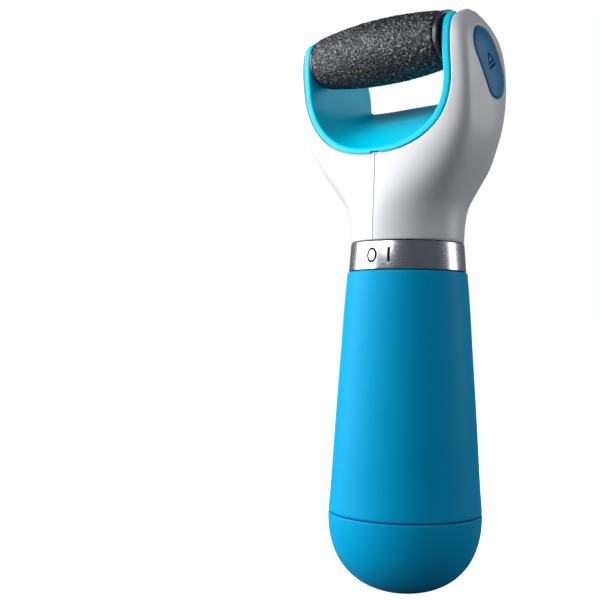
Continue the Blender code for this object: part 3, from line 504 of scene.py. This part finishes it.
# Switch ring ----------------------------------------------------------------------------------
def build_ring():
    """The steel ring with its sunk O and I."""
    corners = [(RING_LOW_RADIUS, RING_LOW), (RING_HIGH_RADIUS, RING_HIGH),
               (RING_INNER_RADIUS, RING_HIGH), (RING_INNER_RADIUS, RING_LOW)]
    profile = rounded(corners, (0.22, 0.22, 0.0, 0.0))
    ring = revolve("switch_ring_fine", profile, STEEL_RING, sides=320)
    middle = (RING_LOW + RING_HIGH) / 2
    sweep = np.linspace(-math.pi / 2 - 0.03, math.pi / 2 + 0.03, 25)
    for side in (1, -1):
        outer = np.stack([side * 1.85 * np.cos(sweep), middle + 2.3 * np.sin(sweep)], -1)
        inner = np.stack([side * 1.15 * np.cos(sweep[::-1]), middle + 1.6 * np.sin(sweep[::-1])], -1)
        half_letter = np.concatenate([outer, inner])
        apply_boolean(ring, slab(half_letter, -19.5, -RING_LOW_RADIUS + 0.6, "Y", MARK))
    bar = [(-0.42, middle - 2.2), (0.42, middle - 2.2), (0.42, middle + 2.2), (-0.42, middle + 2.2)]
    cutter = slab(bar, -19.5, -RING_LOW_RADIUS + 0.5, "Y", MARK)
    cutter.data.transform(Matrix.Rotation(MARK_LEAN, 4, "Z"))
    apply_boolean(ring, cutter)
    finish_edges(ring)
    dress(ring, "switch_ring", "ring_steel", "switch_ring")


# Head -----------------------------------------------------------------------------------------
GROOVE = 0.26                                # air between the cyan rim and the white shell
LIP = 0.55                                   # rounding of the white shell's edge along the rim
SHELL = 1.5


def loop_half(t, back):
    """The opening's half width in the white shell: wide in front, narrower behind."""
    narrow = ARM_INNER_X + CRADLE_WALL + GROOVE
    wide = RIM_X + GROOVE
    if not back:
        return wide + 0 * t
    blend = np.clip((t - 0.8) / 0.2, 0, 1)
    return narrow + (wide - narrow) * blend ** 2 * (3 - 2 * blend)


def opening_curve(t, back, inset):
    """The edge of the white shell around the hollow."""
    half = loop_half(t, back)
    drop = (half - ARM_INNER_X) * (1.1 if back else 0.7)
    top = top_of(RIM_X + GROOVE, inset)
    y = np.where(back, 12.0, -17.0) + 0 * t
    for _ in range(60):
        x, z = cradle_point(t, half, drop, y, top)
        y = 0.4 * y + 0.6 * head_y(x, z, back, inset)
    return np.stack([x, y, z], -1)


def even_share(points, count):
    """Indices of a dense curve, as fractions, that lie evenly along it."""
    steps = np.linalg.norm(np.diff(points, axis=0), axis=1)
    along = np.concatenate([[0], np.cumsum(steps)])
    return np.interp(np.linspace(0, along[-1], count), along, np.arange(len(points)))


def spread(values, places):
    """Values read at fractional indices."""
    return np.interp(places, np.arange(len(values)), values)


def shell_grid(inset, rows, front_t, back_t):
    """The white surface as a grid: columns follow the opening, rows climb from the neck to it."""
    front = opening_curve(front_t, False, inset)
    behind = opening_curve(back_t, True, inset)
    rim = np.concatenate([front, behind[::-1][1:]])
    middle = head_row(rim[:, 2])[3]
    rim_turn = np.arctan2(rim[:, 1] - middle, rim[:, 0])
    rim_turn[0], rim_turn[-1] = -math.pi / 2, math.pi / 2
    count = len(rim)
    share = np.arange(count) / (count - 1)
    corner = float(np.interp(144.5, front[:, 2], np.arange(len(front)))) / (count - 1)
    apex = (len(front) - 1) / (count - 1)
    low_back = len(front) - 1 + int(np.argmin(np.abs(behind[::-1][1:, 2] - 155.0)))
    anchors = [(0, -90), (corner * 0.5, -44), (corner, -10), (apex, 2), (low_back / (count - 1), 27), (1, 90)]
    fine_share = np.linspace(0, 1, 2001)
    fine_turn = np.interp(fine_share, [a for a, _ in anchors], [b for _, b in anchors])
    kernel = np.ones(161) / 161
    padded = np.concatenate([2 * fine_turn[0] - fine_turn[80:0:-1], fine_turn,
                             2 * fine_turn[-1] - fine_turn[-2:-82:-1]])
    neck_turn = np.radians(np.interp(share, fine_share, np.convolve(padded, kernel, "valid")))
    tangent = np.gradient(rim, axis=0)
    tangent /= np.linalg.norm(tangent, axis=1)[:, None]
    upright = np.convolve(np.pad(np.abs(tangent[:, 2]), 8, mode="edge"), np.ones(17) / 17, "valid")
    t = np.linspace(0, 1, rows)[:, None]
    climb = (1 - upright) * t + upright * (1 - (1 - t) ** 2)
    swing = (1 - upright) * t + upright * t ** 2
    z = HEAD_LOW + (rim[:, 2] - HEAD_LOW) * climb
    turn = neck_turn + (rim_turn - neck_turn) * swing
    return head_point(turn, z, inset)


def grid_normals(grid):
    along = np.gradient(grid, axis=0)
    across = np.gradient(grid, axis=1)
    normal = np.cross(across, along)
    return normal / (np.linalg.norm(normal, axis=2)[..., None] + 1e-12)


def nearest_distance(points, curve):
    flat = points.reshape(-1, 3)
    best = np.full(len(flat), 1e9)
    for start in range(0, len(flat), 4000):
        part = flat[start:start + 4000]
        gap = np.linalg.norm(part[:, None, :] - curve[None, :, :], axis=2)
        best[start:start + 4000] = gap.min(axis=1)
    return best.reshape(points.shape[:-1])


def round_off(distance, radius):
    """How far a surface sinks at a distance from its rounded edge."""
    d = np.clip(distance, 0, radius)
    return radius - np.sqrt(np.maximum(radius ** 2 - (radius - d) ** 2, 0))


def pill(grow, steps=24):
    """The button's outline in (y, z), grown outwards."""
    radius = BUTTON_WIDTH / 2 + grow
    reach = BUTTON_LENGTH / 2 - BUTTON_WIDTH / 2
    lean = (-math.sin(BUTTON_TILT), math.cos(BUTTON_TILT))
    points = []
    for end in (1, -1):
        centre = (BUTTON_CENTRE[0] + end * reach * lean[0], BUTTON_CENTRE[1] + end * reach * lean[1])
        start = BUTTON_TILT + (0 if end == 1 else math.pi)
        for k in range(steps + 1):
            angle = start + math.pi * k / steps
            points.append((centre[0] + radius * math.cos(angle), centre[1] + radius * math.sin(angle)))
    return np.array(points)


def pill_distance(y, z):
    """Distance outside the button's outline, negative inside it."""
    reach = BUTTON_LENGTH / 2 - BUTTON_WIDTH / 2
    lean = np.array([-math.sin(BUTTON_TILT), math.cos(BUTTON_TILT)])
    dy, dz = y - BUTTON_CENTRE[0], z - BUTTON_CENTRE[1]
    along = np.clip(dy * lean[0] + dz * lean[1], -reach, reach)
    return np.hypot(dy - along * lean[0], dz - along * lean[1]) - BUTTON_WIDTH / 2


def axle_slot(finish):
    """A cutter for the upright slot in the right arm that the roller's axle drops into."""
    half = AXLE_FLATS / math.sqrt(3) + 0.2
    arc = [math.pi + math.pi * k / 16 for k in range(17)]
    outline = [(ROLLER_Y + half * math.cos(a), ROLLER_Z + half * math.sin(a)) for a in arc]
    outline += [(ROLLER_Y + half, 184.0), (ROLLER_Y - half, 184.0)]
    return slab(outline, 24.0, 27.9, "X", finish)


def build_shells():
    """The two white halves of the head, which part on the plane X = 0."""
    rows = 150
    dense = np.linspace(0, 1, 3000)
    front_t = spread(dense, even_share(opening_curve(dense, False, 0.0), 240))
    back_t = spread(dense, even_share(opening_curve(dense, True, 0.0), 170))
    outer = shell_grid(0.0, rows, front_t, back_t)
    inner = shell_grid(SHELL, rows, front_t, back_t)
    normal = grid_normals(outer)
    rim = outer[-1].copy()
    sink = round_off(nearest_distance(outer, rim), LIP)
    sink = np.maximum(sink, round_off(outer[..., 2] - HEAD_LOW, 0.3))
    outer = outer - normal * sink[..., None]
    inner_rim = inner[-1]
    edge = [rim * (1 - s) + inner_rim * s for s in (0.45, 0.75)]
    grid = np.concatenate([outer, np.array(edge), inner[::-1]])
    for name, body_node, side in (("head_shell_left_fine", "head_shell_left", -1),
                                  ("head_shell_right_fine", "head_shell_right", 1)):
        half = grid.copy()
        half[..., 0] = np.maximum(half[..., 0], 0.0)
        closeness = np.clip(1 - half[..., 0] / 0.6, 0, 1)
        half[..., 0] = np.maximum(half[..., 0], 0.12 * closeness + half[..., 0])
        if side == 1:
            ring_gap = pill_distance(half[..., 1], half[..., 2])
            near = (half[..., 0] > 25) & (ring_gap < 1.2)
            half[..., 0] -= np.where(near, round_off(np.maximum(ring_gap - 0.2, 0.0), 0.8), 0)
        half[..., 0] *= side
        total_rows, columns = half.shape[:2]
        faces = grid_faces(total_rows, columns, close_rows=True)
        for column in (0, columns - 1):
            loop = [r * columns + column for r in range(total_rows)]
            for r in range(total_rows // 2 - 1):
                faces.append([loop[r], loop[r + 1], loop[total_rows - 2 - r], loop[total_rows - 1 - r]])
            r = total_rows // 2 - 1
            if total_rows - 2 - r != r + 1:
                faces.append([loop[r], loop[r + 1], loop[total_rows - 1 - r]])
        shell = new_piece(name, half.reshape(-1, 3), faces, WHITE)
        if side == 1:
            apply_boolean(shell, slab(pill(0.2, 48), 27.0, 34.0, "X", WHITE))
            apply_boolean(shell, axle_slot(WHITE))
        finish_edges(shell, 50)
        dress(shell, "body", "head_white", body_node)


# Cradle ---------------------------------------------------------------------------------------
def build_cradle():
    """The cyan liner: columns of its cross-section from front to back and round behind its wall."""
    t = np.concatenate([np.linspace(0, CURVED_SHARE, 80)[:-1], np.linspace(CURVED_SHARE, 1, 70)])[:, None]
    soft, back_soft, small = 0.75, 0.4, 0.35
    wall_x = ARM_INNER_X + CRADLE_WALL
    arc = np.radians(np.linspace(0, 90, 7))

    def edges(half, growth):
        drop = (half - ARM_INNER_X) * growth
        front = rim_curve(t, half, drop, False, 0.06)
        behind = rim_curve(t, half, drop, True, 0.06)
        return front, behind

    def at(half, growth, y):
        x, z = cradle_point(t, half + 0 * y, (half - ARM_INNER_X) * growth, y, top_of_row(half))
        return np.stack([x, y, z], -1)

    def top_of_row(half):
        return np.vectorize(cradle_top)(half)

    columns = []
    front, behind = edges(np.array([ARM_INNER_X]), 0.7)
    y_front, y_back = front[:, 0, 1:2], behind[:, 0, 1:2]
    width = y_back - y_front
    front_soft = np.minimum(soft, 0.2 * width)
    rear_soft = np.minimum(back_soft, 0.2 * width)
    for a in arc[::-1]:
        half = ARM_INNER_X + soft * (1 - math.cos(a))
        f, _ = edges(np.array([half]), 0.7)
        columns.append(at(np.array([half]), 0.7, f[:, 0, 1:2] + front_soft * (1 - math.sin(a))))
    steps = np.linspace(0, 1, 90)[1:-1]
    for s in steps:
        columns.append(at(np.array([ARM_INNER_X]), 0.7,
                          y_front + front_soft + (width - front_soft - rear_soft) * s))
    for a in arc:
        half = ARM_INNER_X + back_soft * (1 - math.cos(a))
        _, b = edges(np.array([half]), 1.1)
        columns.append(at(np.array([half]), 1.1, b[:, 0, 1:2] - rear_soft * (1 - math.sin(a))))
    wall_front, wall_back = edges(np.array([wall_x]), 1.1)
    wall_width = wall_back[:, 0, 1:2] - wall_front[:, 0, 1:2]
    rim_depth = np.minimum(1.6, 0.4 * wall_width)
    columns.append(at(np.array([wall_x]), 1.1, wall_back[:, 0, 1:2]))
    for s in (0.25, 0.5, 0.75, 1.0):
        columns.append(at(np.array([wall_x]), 1.1,
                          wall_back[:, 0, 1:2] - (wall_width - rim_depth) * s))
    outer_front, outer_back = edges(np.array([RIM_X]), 0.7)
    outer_width = outer_back[:, 0, 1:2] - outer_front[:, 0, 1:2]
    outer_depth = np.minimum(1.5, 0.45 * outer_width)
    columns.append(at(np.array([RIM_X]), 0.7, outer_front[:, 0, 1:2] + outer_depth))
    for a in arc[::2]:
        half = RIM_X - small * (1 - math.cos(a))
        f, _ = edges(np.array([half]), 0.7)
        columns.append(at(np.array([half]), 0.7,
                          f[:, 0, 1:2] + np.minimum(small, outer_depth * 0.5) * (1 - math.sin(a))))
    for half in np.linspace(RIM_X - small, ARM_INNER_X + soft, 6)[1:-1]:
        f, _ = edges(np.array([half]), 0.7)
        columns.append(at(np.array([half]), 0.7, f[:, 0, 1:2]))
    right = np.concatenate(columns, axis=1)
    left = right[1:][::-1].copy()
    left[..., 0] *= -1
    grid = np.concatenate([left, right])
    rows, count = grid.shape[:2]
    faces = grid_faces(rows, count, close_columns=True)
    faces.append([c for c in range(count)])
    faces.append([(rows - 1) * count + c for c in range(count)])
    cradle = new_piece("roller_cradle_fine", grid.reshape(-1, 3), faces, CYAN)
    turn = np.linspace(0, 2 * math.pi, 49)[:-1]
    hole = np.stack([ROLLER_Y + HUB_HOLE_RADIUS * np.cos(turn),
                     ROLLER_Z + HUB_HOLE_RADIUS * np.sin(turn)], -1)
    apply_boolean(cradle, slab(hole, -29.0, -23.0, "X", CYAN))
    apply_boolean(cradle, axle_slot(CYAN))
    notch = [(-2.2, 131.0), (2.2, 131.0), (1.9, 132.7), (-1.9, 132.7)]
    apply_boolean(cradle, slab(notch, -19.0, -16.0, "Y", CYAN))
    finish_edges(cradle, 50)
    dress(cradle, "body", "cradle_cyan", "roller_cradle")


# Button ---------------------------------------------------------------------------------------
def build_button():
    """The domed button with a sunk triangle and bar."""
    steps = 32
    radius = BUTTON_WIDTH / 2
    edge_depths = 0.5 * (1 - np.cos(np.linspace(0, math.pi / 2, 8)))
    depths = np.concatenate([edge_depths, np.linspace(0.7, radius - 0.02, 22)])
    rings = []
    for depth in depths:
        ring = pill(-depth, steps)
        rise = 0.32 * (1 - (1 - depth / radius) ** 2)
        x = head_x(ring[:, 0], ring[:, 1]) - 0.25 - round_off(depth, 0.5) + rise
        rings.append(np.stack([x, ring[:, 0], ring[:, 1]], -1))
    skirt = [rings[0].copy(), rings[0].copy()]
    skirt[0][:, 0] = BUTTON_INNER_X
    skirt[1][:, 0] = rings[0][:, 0] - 0.3
    grid = np.array(skirt + rings)
    rows, count = grid.shape[:2]
    faces = grid_faces(rows, count, close_columns=True)
    base = (rows - 1) * count
    for k in range(steps):
        faces.append([base + k, base + k + 1, base + count - 2 - k, base + count - 1 - k])
    faces.append(list(range(count)))
    button = new_piece("release_button_fine", grid.reshape(-1, 3), faces, BUTTON_BLUE)
    lean = np.array([-math.sin(BUTTON_TILT), math.cos(BUTTON_TILT)])
    across = np.array([math.cos(BUTTON_TILT), math.sin(BUTTON_TILT)])
    centre = np.array(BUTTON_CENTRE) + 0.6 * lean

    def icon(points):
        return [tuple(centre + a * across + b * lean) for a, b in points]

    outer = [(-2.0, -0.9), (2.0, -0.9), (0.0, 2.6)]
    inner = [(-1.15, -0.4), (1.15, -0.4), (0.0, 1.6)]
    cutter = slab(icon(outer), 31.05, 34.0, "X", BUTTON_BLUE)
    apply_boolean(cutter, slab(icon(inner), 30.0, 35.0, "X", BUTTON_BLUE))
    apply_boolean(button, cutter)
    bar = [(-2.0, -2.1), (2.0, -2.1), (2.0, -1.5), (-2.0, -1.5)]
    apply_boolean(button, slab(icon(bar), 31.0, 34.0, "X", BUTTON_BLUE))
    finish_edges(button)
    dress(button, "release_button", "grip_blue", "release_button")


# Roller ---------------------------------------------------------------------------------------
def build_roller():
    """The grit sleeve, its surface roughened grain by grain, and the two end caps."""
    around, along = 360, 230
    left_end = -GRIT_HALF - GRIT_OVERHANG
    turn = np.arange(around) * 2 * math.pi / around
    place_x = np.linspace(left_end, GRIT_HALF, along)[:, None]
    share = np.clip(place_x / GRIT_HALF, -1, 1)
    smooth_radius = GRIT_END + (GRIT_MID - GRIT_END) * (1 - share ** 2)
    edge = np.clip(np.minimum(GRIT_HALF - place_x, place_x - left_end), 0.0, 1.0)
    grains = rng.random((along, around)) ** 1.6
    coarse = rng.random((along, around))
    coarse = sum(np.roll(coarse, (a, b), (0, 1)) for a in (-1, 0, 1) for b in (-1, 0, 1)) / 9
    relief = -0.36 + 0.24 * grains + 0.7 * (coarse - 0.5)
    radius = smooth_radius + np.minimum(relief, -0.02) - round_off(edge, 1.0) * 0.7
    shift_x = (rng.random((along, around)) - 0.5) * 0.1
    shift_x[0] = shift_x[-1] = 0
    outer = np.stack([place_x + shift_x, ROLLER_Y + radius * np.cos(turn),
                      ROLLER_Z + radius * np.sin(turn)], -1)
    bore = []
    for x in (GRIT_HALF, 0.0, left_end):
        bore.append(np.stack([x + 0 * turn, ROLLER_Y + GRIT_BORE * np.cos(turn),
                              ROLLER_Z + GRIT_BORE * np.sin(turn)], -1))
    grid = np.concatenate([outer, np.array(bore)])
    faces = grid_faces(len(grid), around, close_rows=True, close_columns=True)
    sleeve = new_piece("roller_grit_sleeve_fine", grid.reshape(-1, 3), faces, GRIT, sharp=70)
    dress(sleeve, "roller", "grit", "roller_grit_sleeve")
    for name, side, gap, rim in (("roller_end_cap_left", -1, GRIT_OVERHANG + 0.05, 7.5),
                                 ("roller_end_cap_right", 1, 0.3, 8.0)):
        inside, outside = side * (GRIT_HALF + gap), side * CAP_FACE_X
        loop = [(2.45, inside), (rim, inside), (rim, outside), (6.9, outside), (6.5, outside - side * 0.5),
                (3.9, outside - side * 0.5), (3.7, outside), (2.45, outside)]
        profile = rounded(loop, (0, 0.18, 0.3, 0.12, 0.0, 0.0, 0.1, 0.0))
        cap = revolve(name + "_fine", profile, BLACK, axis="X", centre=(ROLLER_Y, ROLLER_Z), sides=96)
        dress(cap, "roller", "black_plastic", name)


# Stage, light and camera --------------------------------------------------------------------
def soft_light(name, azimuth, elevation, distance, size, power):
    """A softbox aimed at the object. Azimuth 0 is the camera's side and grows to its right."""
    lamp = bpy.data.lights.new(name, "AREA")
    lamp.shape = "RECTANGLE"
    lamp.size, lamp.size_y = size
    lamp.energy = power
    heading = math.atan2(CAMERA_PLACE[1], CAMERA_PLACE[0]) + math.radians(azimuth)
    way = Vector((math.cos(heading) * math.cos(math.radians(elevation)),
                  math.sin(heading) * math.cos(math.radians(elevation)), math.sin(math.radians(elevation))))
    holder = bpy.data.objects.new(name, lamp)
    holder.location = Vector((0.0, 0.0, LIGHT_TARGET_Z)) + way * distance
    holder.rotation_euler = way.to_track_quat("Z", "Y").to_euler()
    bpy.context.scene.collection.objects.link(holder)


CAMERA_PLACE = (0.19444, -0.26073, 0.07817)
CAMERA_TURN = (42.57, 1.74, -0.81)           # heading, tilt up and roll, in degrees
CAMERA_LENS = 62.6
LIGHT_TARGET_Z = 0.09


def build_camera():
    lens = bpy.data.cameras.new("camera")
    lens.lens = CAMERA_LENS
    lens.sensor_width = 36.0
    lens.clip_start = 0.01
    camera = bpy.data.objects.new("camera", lens)
    heading, tilt, roll = (math.radians(a) for a in CAMERA_TURN)
    turn = Matrix.Rotation(heading, 4, "Z") @ Matrix.Rotation(tilt, 4, "X") @ Matrix.Rotation(roll, 4, "Y")
    stand_up = Matrix.Rotation(math.pi / 2, 4, "X")
    camera.matrix_world = Matrix.Translation(CAMERA_PLACE) @ turn @ stand_up
    bpy.context.scene.collection.objects.link(camera)
    bpy.context.scene.camera = camera


def shown_to_camera(tree, shown, hidden, output):
    """The camera sees one shader, and the light that reaches the object comes from the other."""
    path = add(tree, "ShaderNodeLightPath")
    mix = add(tree, "ShaderNodeMixShader")
    tree.links.new(path.outputs["Is Camera Ray"], mix.inputs["Fac"])
    tree.links.new(hidden, mix.inputs[1])
    tree.links.new(shown, mix.inputs[2])
    tree.links.new(mix.outputs["Shader"], tree.nodes[output].inputs["Surface"])


def build_floor():
    """A wide pale floor, as white as the background to the camera and dim to the object."""
    steps, radius = 64, 9.0
    turn = [2 * math.pi * k / steps for k in range(steps)]
    mesh = bpy.data.meshes.new("floor")
    mesh.from_pydata([(radius * math.cos(a), radius * math.sin(a), 0.0) for a in turn], [],
                     [list(range(steps))])
    floor = bpy.data.objects.new("floor", mesh)
    made, tree, shader = new_material("pale_floor", (0.9, 0.9, 0.9), 0.9)
    shader.inputs["Specular IOR Level"].default_value = 0.0
    shader.inputs["Emission Color"].default_value = (1, 1, 1, 1)
    shader.inputs["Emission Strength"].default_value = 0.97
    dim = add(tree, "ShaderNodeBsdfDiffuse")
    dim.inputs["Color"].default_value = (0.2, 0.2, 0.2, 1)
    shown_to_camera(tree, shader.outputs["BSDF"], dim.outputs["BSDF"], "Material Output")
    mesh.materials.append(made)
    bpy.context.scene.collection.objects.link(floor)


def build_world():
    """White behind the object, with a faint bluish fill."""
    world = bpy.data.worlds.new("studio")
    world.use_nodes = True
    tree = world.node_tree
    fill = tree.nodes["Background"]
    fill.inputs["Color"].default_value = (0.76, 0.85, 1.0, 1)
    fill.inputs["Strength"].default_value = 0.2
    white = add(tree, "ShaderNodeBackground")
    white.inputs["Color"].default_value = (1, 1, 1, 1)
    white.inputs["Strength"].default_value = 1.0
    shown_to_camera(tree, white.outputs["Background"], fill.outputs["Background"], "World Output")
    bpy.context.scene.world = world
    bpy.context.scene.view_settings.view_transform = "Standard"


def build_lights():
    soft_light("key_left", -92, 12, 0.62, (0.6, 0.6), 8.0)
    soft_light("front_left", -44, 26, 0.9, (0.35, 0.35), 3.6)
    soft_light("rim_right", 100, 6, 0.62, (0.2, 0.6), 1.9)


build_camera()
build_floor()
build_world()
build_lights()
build_handle()
build_cap()
build_ring()
build_shells()
build_cradle()
build_button()
build_roller()
